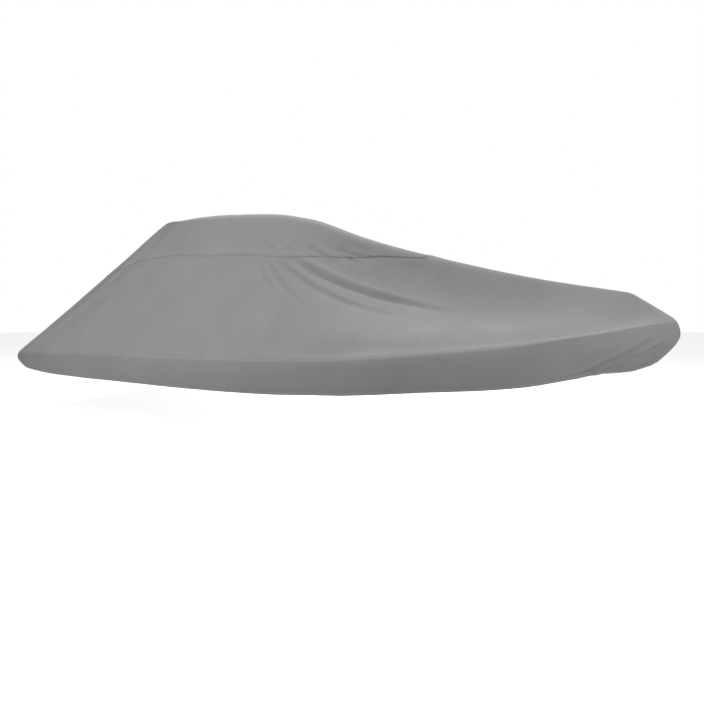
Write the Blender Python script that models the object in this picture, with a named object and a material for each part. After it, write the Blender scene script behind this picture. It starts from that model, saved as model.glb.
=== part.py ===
"""Fitted cover of coated canvas, 8.8 m long, 2.5 m broad and 2.2 m high.

The cover is three panels: a raised crown that slopes forward into a brow, and two
flanks that run from the crown's seam over the rail and down the skirt to the hem.
The flanks meet on the centreline, down the stern slope and along the fore ridge to
the nose. Each panel is one thin closed sheet, and its hem is turned in.

Frame: +X towards the nose, +Y to port, +Z up. The origin is the underside of the
crown on the centreline, amidships, where the cover is held up. The table's heights
are above the lowest point of the hem, its breadths from the centreline. Metres.
"""
from collections import namedtuple
from math import pi

import bmesh
import bpy
import numpy as np

for leftover in list(bpy.data.objects):
    bpy.data.objects.remove(leftover, do_unlink=True)

# Cloth
CLOTH = 0.002            # thickness of the coated canvas, as built
HEM_CLOTH = 0.004        # the hem is turned in over its draw cord
HEM_WIDTH = 0.037
SEAM_GAP = 0.0017        # between crown and flank, along the ribs, which cross it slantwise
CENTRE_GAP = 0.0003      # between the two flanks

# Crown and skirt sections
CAMBER = 0.05            # rise of the crown from its edge to its middle
FULL_CAMBER_AT = 0.5     # half-width from which the crown has its whole camber
CROWN_HALF_WIDTH = 0.71
CROWN_TAPERS_AT = -0.25  # the crown has its full width aft of here
KNUCKLE = 0.36           # part of the skirt's drop at which it stands out most
TUCK_POWER = 1.6         # how late the skirt turns in below the knuckle

# One row for each line that runs from the centre of the crown to the hem, starboard
# side: the spine's x, the crown's edge and how round it is, the rail, how far the
# hem is drawn in, the skirt's drop and how far it stands out at its knuckle, how far
# the cloth sags between crown and rail, how much of that sag lies towards the crown
# and how far it is drawn in there, and where the seam crosses (0 centreline, 1 crown
# edge, 2 rail).
Rib = namedtuple("Rib", "name spine_x crown_x crown_y crown_z edge_round rail_x rail_y rail_z "
                        "hem_in skirt out sag sag_up drawn_in seam")
RIBS = (
    Rib("stern middle", -0.55, -0.98, 0.0, 2.094, 0.045,
        -4.425, 0.0, 0.262, 0.10, 0.268, 0.03, -0.14, 0.0, 0.0, 1.416),
    Rib("stern side", -0.55, -0.98, 0.38, 2.094, 0.045,
        -4.425, 0.75, 0.262, 0.10, 0.268, 0.03, -0.14, 0.0, 0.01, 1.416),
    Rib("corner aft", -0.50, -0.96, 0.58, 2.096, 0.045,
        -4.41, 1.06, 0.272, 0.10, 0.275, 0.03, -0.135, 0.0, 0.10, 1.413),
    Rib("corner", -0.45, -0.90, 0.66, 2.096, 0.042,
        -4.34, 1.18, 0.277, 0.05, 0.277, 0.028, -0.125, 0.0, 0.15, 1.409),
    Rib("corner fore", -0.40, -0.80, 0.70, 2.088, 0.035,
        -4.08, 1.215, 0.274, 0.06, 0.292, 0.02, -0.115, 0.0, 0.17, 1.38),
    Rib("aft quarter", -0.35, -0.69, 0.71, 2.078, 0.032,
        -3.65, 1.228, 0.285, 0.04, 0.308, 0.014, -0.09, 0.0, 0.14, 1.33),
    Rib("quarter", -0.30, -0.60, 0.715, 2.07, 0.032,
        -3.20, 1.235, 0.295, 0.03, 0.32, 0.01, -0.06, 0.0, 0.11, 1.29),
    Rib("aft flank", -0.05, -0.25, 0.72, 2.055, 0.035,
        -1.70, 1.25, 0.358, 0.03, 0.35, 0.008, 0.03, 0.0, 0.02, 1.262),
    Rib("flank", 0.45, 0.35, 0.71, 1.995, 0.035,
        0.15, 1.25, 0.404, 0.02, 0.338, 0.008, 0.03, -0.50, 0.0, 1.294),
    Rib("fore flank", 1.00, 0.98, 0.68, 1.912, 0.03,
        1.20, 1.24, 0.439, 0.01, 0.319, 0.008, 0.06, 0.0, 0.0, 1.29),
    Rib("brow", 1.25, 1.32, 0.62, 1.835, 0.03,
        1.90, 1.205, 0.475, 0.0, 0.297, 0.008, 0.14, 0.30, 0.0, 1.225),
    Rib("aft ridge", 1.80, 1.90, 0.47, 1.605, 0.035,
        2.60, 1.08, 0.545, 0.0, 0.298, 0.01, 0.22, 0.70, 0.0, 1.08),
    Rib("ridge", 2.50, 2.60, 0.33, 1.38, 0.035,
        3.25, 0.84, 0.62, 0.0, 0.32, 0.012, 0.20, 0.70, 0.0, 0.985),
    Rib("fore ridge", 3.30, 3.42, 0.18, 1.158, 0.025,
        3.80, 0.52, 0.703, 0.03, 0.317, 0.02, 0.10, 0.50, 0.0, 0.0),
    Rib("foredeck", 3.75, 3.90, 0.10, 1.055, 0.015,
        4.13, 0.25, 0.763, 0.06, 0.362, 0.03, 0.015, 0.0, 0.0, 0.0),
    Rib("nose side", 3.93, 4.06, 0.05, 1.022, 0.01,
        4.32, 0.09, 0.791, 0.10, 0.345, 0.03, 0.0, 0.0, 0.0, 0.0),
    Rib("nose", 3.95, 4.07, 0.0, 1.02, 0.01,
        4.36, 0.0, 0.797, 0.09, 0.335, 0.03, 0.0, 0.0, 0.0, 0.0),
)
BREADTHS = ("crown_y", "rail_y")
SEAM_CLOSES = 0.850      # place along the ribs where the seam starts to close
SEAM_END = 0.882         # and where the crown comes to its point
SEAM_CLOSES_POWER = 0.8  # below 1, it closes faster near the point
CREASE_PLACES = (0.0, 0.10, 0.66, 0.84, 0.895, 0.96, 1.0)  # how far the crease is rounded
CREASE_REACH = (0.03, 0.045, 0.060, 0.060, 0.012, 0.016, 0.040)

# Folds, seen from the side: each follows its points from its top end to its low end
# and is a soft trough with a raised lip along its upper side.
Fold = namedtuple("Fold", "name part path width depth lip")
FOLDS = (
    Fold("main fan fold", "flank", ((1.22, 1.44), (1.44, 1.305), (1.80, 1.125), (2.13, 1.015),
                                    (2.49, 0.915), (2.98, 0.82)), 0.050, 0.022, 0.015),
    Fold("second fan fold", "flank", ((1.02, 1.45), (1.22, 1.310), (1.54, 1.110), (1.85, 0.965),
                                      (2.27, 0.845), (2.62, 0.78)), 0.045, 0.011, 0.007),
    Fold("third fan fold", "flank", ((0.88, 1.46), (1.01, 1.345), (1.22, 1.14), (1.42, 0.985),
                                     (1.66, 0.86)), 0.045, 0.008, 0.004),
    Fold("brow dent", "flank", ((1.62, 1.50), (1.88, 1.43), (2.15, 1.34)), 0.080, 0.014, 0.0),
    Fold("upper gather", "skirt", ((3.58, 0.35), (3.73, 0.427), (3.92, 0.527), (4.07, 0.606),
                                   (4.20, 0.665)), 0.026, 0.012, 0.008),
    Fold("lower gather", "skirt", ((3.80, 0.36), (3.92, 0.424), (4.10, 0.487), (4.23, 0.571),
                                   (4.33, 0.64)), 0.026, 0.011, 0.007),
)
LIP_AT = 1.4             # the lip's distance from the trough, in fold widths
FOLD_STARTS = 0.2        # share of a fold's length over which it starts
FOLD_ENDS = 0.5          # and over which it dies out
CLEAR_OF_RAIL = 0.1      # a flank's folds die out this far above the rail
SKIRT_FADE_TOP = 0.04    # and a skirt's folds this far below it
SKIRT_FADE_LOW = 0.05    # and this far above the hem
GUIDE_COLUMNS = 240      # the bare cloth is sampled this finely to find a fold's line
GUIDE_ROWS = 90
LINE_POINTS = 60
LINE_CURVES = 4
FURROW_IN = 0.075        # the furrow inside the rail: its distance from the rail
FURROW_INNER = 0.14      # how wide its inner bank is
FURROW_OUTER = 0.045     # and its outer one
FURROW_PLACES = (0.0, 0.66, 0.75, 0.84, 0.93, 0.98, 1.0)
FURROW_DEPTHS = (0.0, 0.004, 0.012, 0.020, 0.026, 0.010, 0.0)

# Mesh lines: (place along the ribs, number of steps up to it)
ALONG = ((0.09, 3), (0.16, 6), (0.45, 5), (0.62, 4), (0.80, 13), (0.85, 3), (SEAM_END, 3),
         (1.0, 8))
CROWN_LINES = (0.0, 0.22, 0.42, 0.58, 0.70, 0.78, 0.88, 1.0)  # shares from spine to seam
SEAM_TO_CREASE_STEPS = 12
SKIRT_LINES = (KNUCKLE, 0.58, 0.80, 0.90, 1.0)
CENTRE_REACH = 3         # the skirt's shift across fades within this many shifts of the nose
STEP = 0.001             # used to feel for the cloth's slope
SPINE_STEPS = 2000       # used to find the spine's place at x = 0
TINY = 1e-5              # points closer than this are one point

SHARP_ANGLE = 0.6        # a cut edge, in radians
CANVAS_COLOUR = (0.262, 0.264, 0.266, 1.0)
CROWN_COLOUR = (0.275, 0.277, 0.279, 1.0)
CANVAS_ROUGHNESS = 0.85


def rib_places():
    """Each rib's place from 0 at the stern to 1 at the nose, by length of rail."""
    rail = np.array([(rib.rail_x, rib.rail_y) for rib in RIBS])
    lengths = np.hypot(*np.diff(rail, axis=0).T)
    places = np.concatenate([[0.0], np.cumsum(lengths)])
    return places / places[-1]


def fair_curve(knots, values, at, free_ends):
    """A smooth curve through the values that doesn't overshoot them."""
    steps = np.diff(knots)
    rises = np.diff(values) / steps
    slopes = np.zeros_like(values)
    for i in range(1, len(knots) - 1):
        if rises[i - 1] * rises[i] > 0:
            before = 2 * steps[i] + steps[i - 1]
            after = steps[i] + 2 * steps[i - 1]
            slopes[i] = (before + after) / (before / rises[i - 1] + after / rises[i])
    if free_ends:
        slopes[0] = rises[0]
        slopes[-1] = rises[-1]
    i = np.clip(np.searchsorted(knots, at) - 1, 0, len(steps) - 1)
    t = (at - knots[i]) / steps[i]
    from_start = (1 + 2 * t) * (1 - t) ** 2 * values[i] + t * (1 - t) ** 2 * steps[i] * slopes[i]
    from_end = t * t * (3 - 2 * t) * values[i + 1] + t * t * (t - 1) * steps[i] * slopes[i + 1]
    return from_start + from_end


def rib_at(along):
    """The rib at any place: x and heights run level over the centreline."""
    places = rib_places()
    columns = {}
    for name in Rib._fields[1:]:
        values = np.array([getattr(rib, name) for rib in RIBS])
        columns[name] = fair_curve(places, values, along, free_ends=name in BREADTHS)
    return Rib(name=None, **columns)


def seam_at(along):
    """Where the seam crosses each rib; past the crown's point it is the centreline."""
    to_point = np.clip((SEAM_END - along) / (SEAM_END - SEAM_CLOSES), 0, 1)
    seam = rib_at(np.minimum(along, SEAM_CLOSES)).seam
    return np.where(along > SEAM_CLOSES, seam * to_point ** SEAM_CLOSES_POWER, seam)


def flank_run(rib):
    """Level distance from the crown's edge to the rail."""
    return np.hypot(rib.rail_x - rib.crown_x, rib.rail_y - rib.crown_y)


def runs(along):
    """Metres of cloth on a rib: spine to crown edge, on to the rail, and on to the hem."""
    rib = rib_at(along)
    crown = np.hypot(rib.crown_x - rib.spine_x, rib.crown_y)
    flank = np.hypot(flank_run(rib), rib.crown_z - rib.rail_z)
    return np.maximum(crown, TINY), flank, rib.skirt


def metres_at(along, down):
    """How many metres of cloth lie between the spine and each place."""
    crown, flank, skirt = runs(along)
    return (crown * np.clip(down, 0, 1) + flank * np.clip(down - 1, 0, 1)
            + skirt * np.clip(down - 2, 0, 1))


def down_at(along, metres):
    """The place down a rib that has so many metres of cloth above it."""
    crown, flank, skirt = runs(along)
    return (np.clip(metres / crown, 0, 1) + np.clip((metres - crown) / flank, 0, 1)
            + np.clip((metres - crown - flank) / skirt, 0, 1))


def soft_edge(share):
    """Rises softly from 0 to 1 as share does."""
    share = np.clip(share, 0, 1)
    return share * share * (3 - 2 * share)


def bare_cloth(along, down):
    """The starboard cloth without its folds. down is 0 on the spine, 1 on the
    crown's edge, 2 on the rail and 3 at the hem."""
    rib = rib_at(along)
    on_crown = np.clip(down, 0, 1)
    below_edge = np.clip(down - 1, 0, 1)
    below_rail = np.clip(down - 2, 0, 1)
    x = rib.spine_x + (rib.crown_x - rib.spine_x) * on_crown
    x = x + (rib.rail_x - rib.crown_x) * below_edge
    y = rib.crown_y * on_crown + (rib.rail_y - rib.crown_y) * below_edge
    y = y - rib.drawn_in * 4 * below_edge * (1 - below_edge)

    # Crown and flank surfaces meet in a rounded edge
    crown_run = np.hypot(rib.crown_x - rib.spine_x, rib.crown_y)
    t = np.where(down <= 1, (on_crown - 1) * crown_run / flank_run(rib), below_edge)
    half_width = np.where(rib.crown_x < CROWN_TAPERS_AT, CROWN_HALF_WIDTH, rib.crown_y)
    camber = CAMBER * np.minimum(1, half_width / FULL_CAMBER_AT)
    inside = np.minimum(y / np.maximum(half_width, TINY), 1)
    crown_z = rib.crown_z + camber * (1 - inside ** 2)
    slope_at_edge = 4 * rib.sag * (1 + rib.sag_up)
    sagging = 4 * rib.sag * t * (1 - t) * (1 + rib.sag_up * (1 - 2 * t))
    sagging = np.where(t > 0, sagging, slope_at_edge * t)
    flank_z = rib.crown_z - (rib.crown_z - rib.rail_z) * t - sagging
    edge = 4 * rib.edge_round ** 2 * (1 - below_edge)
    z = 0.5 * (crown_z + flank_z - np.sqrt((crown_z - flank_z) ** 2 + edge))

    # The skirt stands out over the rail's knuckle and is drawn in at the hem
    before = rib_at(np.clip(along - STEP, 0, 1))
    after = rib_at(np.clip(along + STEP, 0, 1))
    run_x = after.rail_x - before.rail_x
    run_y = after.rail_y - before.rail_y
    run = np.hypot(run_x, run_y)
    swell = rib.out * np.sin(0.5 * pi * np.minimum(below_rail / KNUCKLE, 1))
    tuck = np.maximum(below_rail - KNUCKLE, 0) / (1 - KNUCKLE)
    out = swell - (rib.out + rib.hem_in) * tuck ** TUCK_POWER
    shift = run_x / run * out
    shift *= soft_edge(rib.rail_y / (CENTRE_REACH * abs(shift) + TINY))
    x = np.where(down > 2, rib.rail_x - run_y / run * out, x)
    y = np.where(down > 2, rib.rail_y + shift, y)
    z = np.where(down > 2, rib.rail_z - rib.skirt * below_rail, z)
    y = np.where((along <= 0) | (along >= 1), 0, y)
    return np.stack([x, -y, z], axis=-1)


def rounded_cloth(along, down):
    """The bare cloth with its crease over the rail rounded."""
    crown, flank, skirt = runs(along)
    reach = np.interp(along, CREASE_PLACES, CREASE_REACH)
    below_rail = metres_at(along, down) - crown - flank
    rail = bare_cloth(along, np.full_like(down, 2.0))
    above = bare_cloth(along, 2 - reach / flank)
    below = bare_cloth(along, 2 + reach / skirt)
    t = np.clip((below_rail + reach) / (2 * reach), 0, 1)[..., None]
    arc = (1 - t) ** 2 * above + 2 * t * (1 - t) * rail + t * t * below
    return np.where((t > 0) & (t < 1), arc, bare_cloth(along, down))


def outward(along, down):
    """Unit normals of the rounded cloth, pointing out of the cover."""
    ahead = rounded_cloth(np.minimum(along + STEP, 1), down)
    behind = rounded_cloth(np.maximum(along - STEP, 0), down)
    lower = rounded_cloth(along, np.minimum(down + STEP, 3))
    upper = rounded_cloth(along, np.maximum(down - STEP, 0))
    normals = np.cross(lower - upper, ahead - behind)
    return normals / np.linalg.norm(normals, axis=-1, keepdims=True)


def through(points, count=LINE_POINTS):
    """Points along a smooth line through a few points placed by hand."""
    points = np.array(points, float)
    knots = np.concatenate([[0], np.cumsum(np.linalg.norm(np.diff(points, axis=0), axis=1))])
    at = np.linspace(0, knots[-1], count)
    slopes = np.gradient(points, knots, axis=0)
    i = np.clip(np.searchsorted(knots, at) - 1, 0, len(knots) - 2)
    step = (knots[i + 1] - knots[i])[:, None]
    t = (at[:, None] - knots[i][:, None]) / step
    return ((1 + 2 * t) * (1 - t) ** 2 * points[i] + t * (1 - t) ** 2 * step * slopes[i]
            + t * t * (3 - 2 * t) * points[i + 1] + t * t * (t - 1) * step * slopes[i + 1])


def on_cloth(path, guide):
    """A fold's line in space, from the points of the bare cloth that lie behind it."""
    line = through(path)
    steps = np.linspace(0, 1, len(line))
    nearest = [((guide[:, (0, 2)] - spot) ** 2).sum(1).argmin() for spot in line]
    sideways = np.polyval(np.polyfit(steps, guide[nearest, 1], LINE_CURVES), steps)
    return np.stack([line[:, 0], sideways, line[:, 1]], axis=1)


def beside(line, points):
    """How far along a fold's line each point lies, from 0 to 1, and how far above it."""
    spots = points.reshape(-1, 3)
    nearest = np.argmin(((spots[:, None] - line[None]) ** 2).sum(-1), axis=1)
    run = np.gradient(line, axis=0)
    run /= np.linalg.norm(run, axis=1, keepdims=True)
    away = spots - line[nearest]
    ahead = (away * run[nearest]).sum(1)
    aside = away - ahead[:, None] * run[nearest]
    upper = run[nearest, 0] * aside[:, 2] - run[nearest, 2] * aside[:, 0]
    above = np.linalg.norm(aside, axis=1) * np.sign(upper)
    share = nearest / (len(line) - 1) + ahead / np.linalg.norm(np.diff(line, axis=0), axis=1).sum()
    return share.reshape(points.shape[:2]), above.reshape(points.shape[:2])


def relief(along, down, points):
    """How far the cloth stands out from its bare form."""
    crown, flank, skirt = runs(along)
    below_rail = metres_at(along, down) - crown - flank
    above_hem = skirt - below_rail
    on_skirt = soft_edge(below_rail / SKIRT_FADE_TOP) * soft_edge(above_hem / SKIRT_FADE_LOW)
    reach = {"flank": soft_edge(-below_rail / CLEAR_OF_RAIL), "skirt": on_skirt}
    height = np.zeros_like(below_rail)
    for fold, line in zip(FOLDS, FOLD_LINES):
        share, above = beside(line, points)
        fade = soft_edge(share / FOLD_STARTS) * soft_edge((1 - share) / FOLD_ENDS)
        trough = fold.depth * np.exp(-(above / fold.width) ** 2)
        lip = fold.lip * np.exp(-((above - LIP_AT * fold.width) / fold.width) ** 2)
        height += reach[fold.part] * fade * (lip - trough)
    past = below_rail + FURROW_IN
    bank = np.where(past < 0, FURROW_INNER, FURROW_OUTER)
    furrow = np.interp(along, FURROW_PLACES, FURROW_DEPTHS) * np.exp(-(past / bank) ** 2)
    return height - furrow


def cloth(along, down):
    """Points on the outer face of the starboard cloth, and its inward thickness."""
    points = rounded_cloth(along, down)
    normals = outward(along, down)
    points = points + normals * relief(along, down, points)[..., None]
    in_hem = (3 - down) * rib_at(along).skirt < HEM_WIDTH
    thickness = np.where(in_hem, HEM_CLOTH, CLOTH)
    return points, -normals * thickness[..., None]


def held_height():
    """Height of the crown's underside where the spine crosses x = 0."""
    places = np.linspace(0, 1, SPINE_STEPS + 1)
    amidships = np.interp(0.0, rib_at(places).spine_x, places)
    points, inward = cloth(np.array([[amidships]]), np.array([[0.0]]))
    return points[0, 0, 2] - CLOTH


def mesh_lines():
    """The places along the ribs at which the mesh has a line."""
    lines = [0.0]
    for place, steps in ALONG:
        lines.extend(np.linspace(lines[-1], place, steps + 1)[1:])
    return np.array(lines)


def sheet_object(name, points, inward, colour):
    """A closed sheet from a grid of outer points and its thickness at each, lowered
    so that the crown's underside amidships is at height 0."""
    rows, columns = points.shape[:2]
    bm = bmesh.new()
    bmesh.ops.create_grid(bm, x_segments=columns - 1, y_segments=rows - 1, size=0.5)
    thickness = bm.verts.layers.float_vector.new("inward")
    for vert in bm.verts:
        column = round((vert.co.x + 0.5) * (columns - 1))
        row = round((vert.co.y + 0.5) * (rows - 1))
        vert.co = points[row, column] - HELD_UP
        vert[thickness] = inward[row, column]
    bmesh.ops.remove_doubles(bm, verts=bm.verts, dist=TINY)
    lining = bmesh.ops.extrude_face_region(bm, geom=bm.faces[:], use_keep_orig=True)
    for item in lining["geom"]:
        if isinstance(item, bmesh.types.BMVert):
            item.co += item[thickness]
    bmesh.ops.recalc_face_normals(bm, faces=bm.faces[:])
    mesh = bpy.data.meshes.new(name)
    bm.to_mesh(mesh)
    bm.free()
    piece = bpy.data.objects.new(name, mesh)
    bpy.context.scene.collection.objects.link(piece)
    mesh.materials.append(canvas_material(name + "_canvas", colour))
    mesh.shade_smooth()
    mesh.set_sharp_from_angle(angle=SHARP_ANGLE)
    return piece


def canvas_material(name, colour):
    material = bpy.data.materials.new(name)
    material.use_nodes = True
    shader = material.node_tree.nodes["Principled BSDF"]
    shader.inputs["Base Color"].default_value = colour
    shader.inputs["Roughness"].default_value = CANVAS_ROUGHNESS
    shader.inputs["Metallic"].default_value = 0.0
    return material


def add_flank(name, side):
    """One flank, from the seam or the centreline down to the hem. side is -1 for
    starboard and +1 for port."""
    places = mesh_lines()
    crown, flank, skirt = runs(places)
    reach = np.interp(places, CREASE_PLACES, CREASE_REACH)
    top = metres_at(places, seam_at(places)) + 0.5 * SEAM_GAP * (places <= SEAM_END)
    crease = crown + flank - reach
    metres = [top + (crease - top) * share for share in np.linspace(0, 1, SEAM_TO_CREASE_STEPS + 1)]
    metres += [crown + flank, crown + flank + reach]
    metres += [crown + flank + skirt * share for share in SKIRT_LINES]
    metres = np.array(metres)
    along = np.broadcast_to(places, metres.shape)
    points, inward = cloth(along, down_at(along, metres))
    inner = points + inward
    points[..., 1] = np.minimum(points[..., 1], -0.5 * CENTRE_GAP)
    inner[..., 1] = np.minimum(inner[..., 1], -0.5 * CENTRE_GAP)
    across = np.array([1, -side, 1])
    sheet_object(name, points * across, (inner - points) * across, CANVAS_COLOUR)


def add_crown():
    """The crown, both sides in one sheet, ending in a point on the fore ridge."""
    places = mesh_lines()
    places = places[places <= SEAM_END + TINY]
    edge = np.maximum(metres_at(places, seam_at(places)) - 0.5 * SEAM_GAP, 0)
    metres = edge * np.array(CROWN_LINES)[:, None]
    along = np.broadcast_to(places, metres.shape)
    points, inward = cloth(along, down_at(along, metres))
    inward[metres == 0, 1] = 0
    mirror = np.array([1, -1, 1])
    points = np.concatenate([points[::-1], points[1:] * mirror])
    inward = np.concatenate([inward[::-1], inward[1:] * mirror])
    sheet_object("crown_panel", points, inward, CROWN_COLOUR)


guide_along, guide_down = np.meshgrid(np.linspace(0, 1, GUIDE_COLUMNS),
                                      np.linspace(0, 3, GUIDE_ROWS))
guide = bare_cloth(guide_along, guide_down).reshape(-1, 3)
FOLD_LINES = [on_cloth(fold.path, guide) for fold in FOLDS]
HELD_UP = np.array([0, 0, held_height()])
add_crown()
add_flank("starboard_panel", -1)
add_flank("port_panel", 1)
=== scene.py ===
"""Looks of a fitted canvas cover: a raised crown, two flanks with their skirts and hems,
and the thread that sews them together. Metres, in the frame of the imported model: +X
towards the nose, +Y to port, +Z up, from the crown's underside amidships."""
from collections import namedtuple
from math import cos, pi, radians, sin

import bmesh
import bpy
import numpy as np
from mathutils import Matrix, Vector


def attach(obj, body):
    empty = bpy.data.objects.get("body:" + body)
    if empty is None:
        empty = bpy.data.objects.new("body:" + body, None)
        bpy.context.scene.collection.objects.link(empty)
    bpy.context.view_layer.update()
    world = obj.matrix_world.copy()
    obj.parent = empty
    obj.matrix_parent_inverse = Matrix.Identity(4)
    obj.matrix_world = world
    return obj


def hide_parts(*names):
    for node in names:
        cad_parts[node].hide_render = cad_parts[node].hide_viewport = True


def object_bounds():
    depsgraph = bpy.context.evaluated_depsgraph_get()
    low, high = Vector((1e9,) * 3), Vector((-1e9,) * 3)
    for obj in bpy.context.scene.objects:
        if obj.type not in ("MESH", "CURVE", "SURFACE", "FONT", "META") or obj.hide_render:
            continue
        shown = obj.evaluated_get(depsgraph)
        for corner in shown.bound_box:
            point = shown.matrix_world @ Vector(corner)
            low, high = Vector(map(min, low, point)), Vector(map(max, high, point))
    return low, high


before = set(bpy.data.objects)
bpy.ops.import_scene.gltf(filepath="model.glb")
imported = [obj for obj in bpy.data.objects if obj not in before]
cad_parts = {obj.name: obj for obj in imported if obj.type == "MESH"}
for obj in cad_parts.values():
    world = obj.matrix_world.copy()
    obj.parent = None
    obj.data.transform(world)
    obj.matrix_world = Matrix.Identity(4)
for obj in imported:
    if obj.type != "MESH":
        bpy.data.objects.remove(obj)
cad_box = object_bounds()


# Camera: off the starboard bow at eye height, close by, with a wide lens that looks
# aft along the cover and a little down.
EYE = Vector((3.225, -3.35, -1.309))
TURNED_AFT = radians(62.88)
LOOKING_DOWN = radians(5.66)
LENS = 16
SENSOR_WIDTH = 36

camera = bpy.data.objects.new("eye", bpy.data.cameras.new("eye"))
camera.data.lens = LENS
camera.data.sensor_width = SENSOR_WIDTH
camera.location = EYE
line_of_sight = Vector((-cos(TURNED_AFT) * cos(LOOKING_DOWN),
                        sin(TURNED_AFT) * cos(LOOKING_DOWN),
                        -sin(LOOKING_DOWN)))
camera.rotation_euler = line_of_sight.to_track_quat("-Z", "Y").to_euler()
bpy.context.scene.collection.objects.link(camera)
bpy.context.scene.camera = camera


# Floor: smooth pale studio flooring, 0.84 m below the lowest hem, which is how high such
# a cover hangs in use. Wide enough to fill every view.
FLOOR_BELOW_HEM = 0.84
FLOOR_HALF = 60.0
FLOOR_COLOUR = "#F7F7F6"
FLOOR_GLOW = 0.85        # lifts the floor to the photograph's white; it doesn't light the cloth


def linear(colour):
    """A colour written as sRGB hex, as the linear RGBA that a shader takes."""
    parts = [int(colour[i:i + 2], 16) / 255 for i in (1, 3, 5)]
    return [p / 12.92 if p <= 0.04045 else ((p + 0.055) / 1.055) ** 2.4 for p in parts] + [1.0]


def material_of(name):
    """A new material with its node tree and its Principled shader."""
    material = bpy.data.materials.new(name)
    material.use_nodes = True
    return material, material.node_tree, material.node_tree.nodes["Principled BSDF"]


floor_bm = bmesh.new()
bmesh.ops.create_grid(floor_bm, x_segments=1, y_segments=1, size=FLOOR_HALF)
bmesh.ops.translate(floor_bm, verts=floor_bm.verts,
                    vec=(0, 0, cad_box[0].z - FLOOR_BELOW_HEM))
floor_mesh = bpy.data.meshes.new("floor")
floor_bm.to_mesh(floor_mesh)
floor_bm.free()
floor = bpy.data.objects.new("floor", floor_mesh)
bpy.context.scene.collection.objects.link(floor)
studio_floor, tree, shader = material_of("studio_floor")
shader.inputs["Base Color"].default_value = linear(FLOOR_COLOUR)
shader.inputs["Roughness"].default_value = 0.9
shader.inputs["Specular IOR Level"].default_value = 0.0
shader.inputs["Emission Color"].default_value = linear(FLOOR_COLOUR)
shader.inputs["Emission Strength"].default_value = FLOOR_GLOW
floor.visible_diffuse = False
floor_mesh.materials.append(studio_floor)


# Light: soft banks off the starboard side and bow, a low one aft, a high one overhead
# and a weak one to port, with a weak even fill. They leave the aft hip in half shade.
# The studio itself shows white.
FILL = 0.11
AIMED_AT = Vector((0, 0, -1))
Bank = namedtuple("Bank", "name x y z size watts")
BANKS = (
    Bank("side_bank", 0.54, -4.2, 0.1, 2.5, 98),
    Bank("bow_bank", 6.30, -2.6, -0.3, 3.0, 119),
    Bank("low_aft_bank", -3.45, -4.2, -1.95, 2.0, 50),
    Bank("top_bank", 0.0, 1.25, 8.2, 4.0, 980),
    Bank("port_bank", 0.0, 6.5, 1.5, 4.0, 140),
)


def add(tree, kind, settings=None, **inputs):
    """Adds a node, sets its settings and inputs, and links those that are sockets."""
    node = tree.nodes.new("ShaderNode" + kind)
    for name, value in (settings or {}).items():
        setattr(node, name, value)
    for name, value in inputs.items():
        socket = node.inputs[int(name[1:])] if name[0] == "i" and name[1:].isdigit() else \
            node.inputs[name.replace("_", " ")]
        if isinstance(value, bpy.types.NodeSocket):
            tree.links.new(value, socket)
        else:
            socket.default_value = value
    return node


world = bpy.data.worlds.new("white_studio")
world.use_nodes = True
tree = world.node_tree
rays = add(tree, "LightPath")
brightness = add(tree, "MapRange", Value=rays.outputs["Is Camera Ray"], To_Min=FILL, To_Max=1.0)
tree.links.new(brightness.outputs["Result"], tree.nodes["Background"].inputs["Strength"])
tree.nodes["Background"].inputs["Color"].default_value = (1, 1, 1, 1)
bpy.context.scene.world = world
for bank in BANKS:
    lamp = bpy.data.lights.new(bank.name, "AREA")
    lamp.size = bank.size
    lamp.energy = bank.watts
    light = bpy.data.objects.new(bank.name, lamp)
    light.location = (bank.x, bank.y, bank.z)
    backwards = light.location - AIMED_AT
    light.rotation_euler = backwards.to_track_quat("Z", "Y").to_euler()
    light.visible_camera = False
    bpy.context.scene.collection.objects.link(light)
bpy.context.scene.view_settings.view_transform = "Standard"


# Crown panel: woven polyester canvas, coated on the inside, cut in one piece over the
# raised middle and its brow. Its lower edge is felled over the flanks' edges.
CLOTH = 0.0015           # canvas and coating, drawn thick enough to show at an edge
PACKED_CLOTH = 0.002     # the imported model's cloth; height 0 is its underside amidships
CAMBER = 0.05            # rise of the crown from its edge to its middle
FULL_CAMBER_AT = 0.5     # half-width from which the crown has its whole camber
CROWN_HALF_WIDTH = 0.71
CROWN_TAPERS_AT = -0.25  # the crown has its full width aft of here
KNUCKLE = 0.36           # part of the skirt's drop at which it stands out most
TUCK_POWER = 1.6         # how late the skirt turns in below the knuckle

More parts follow.
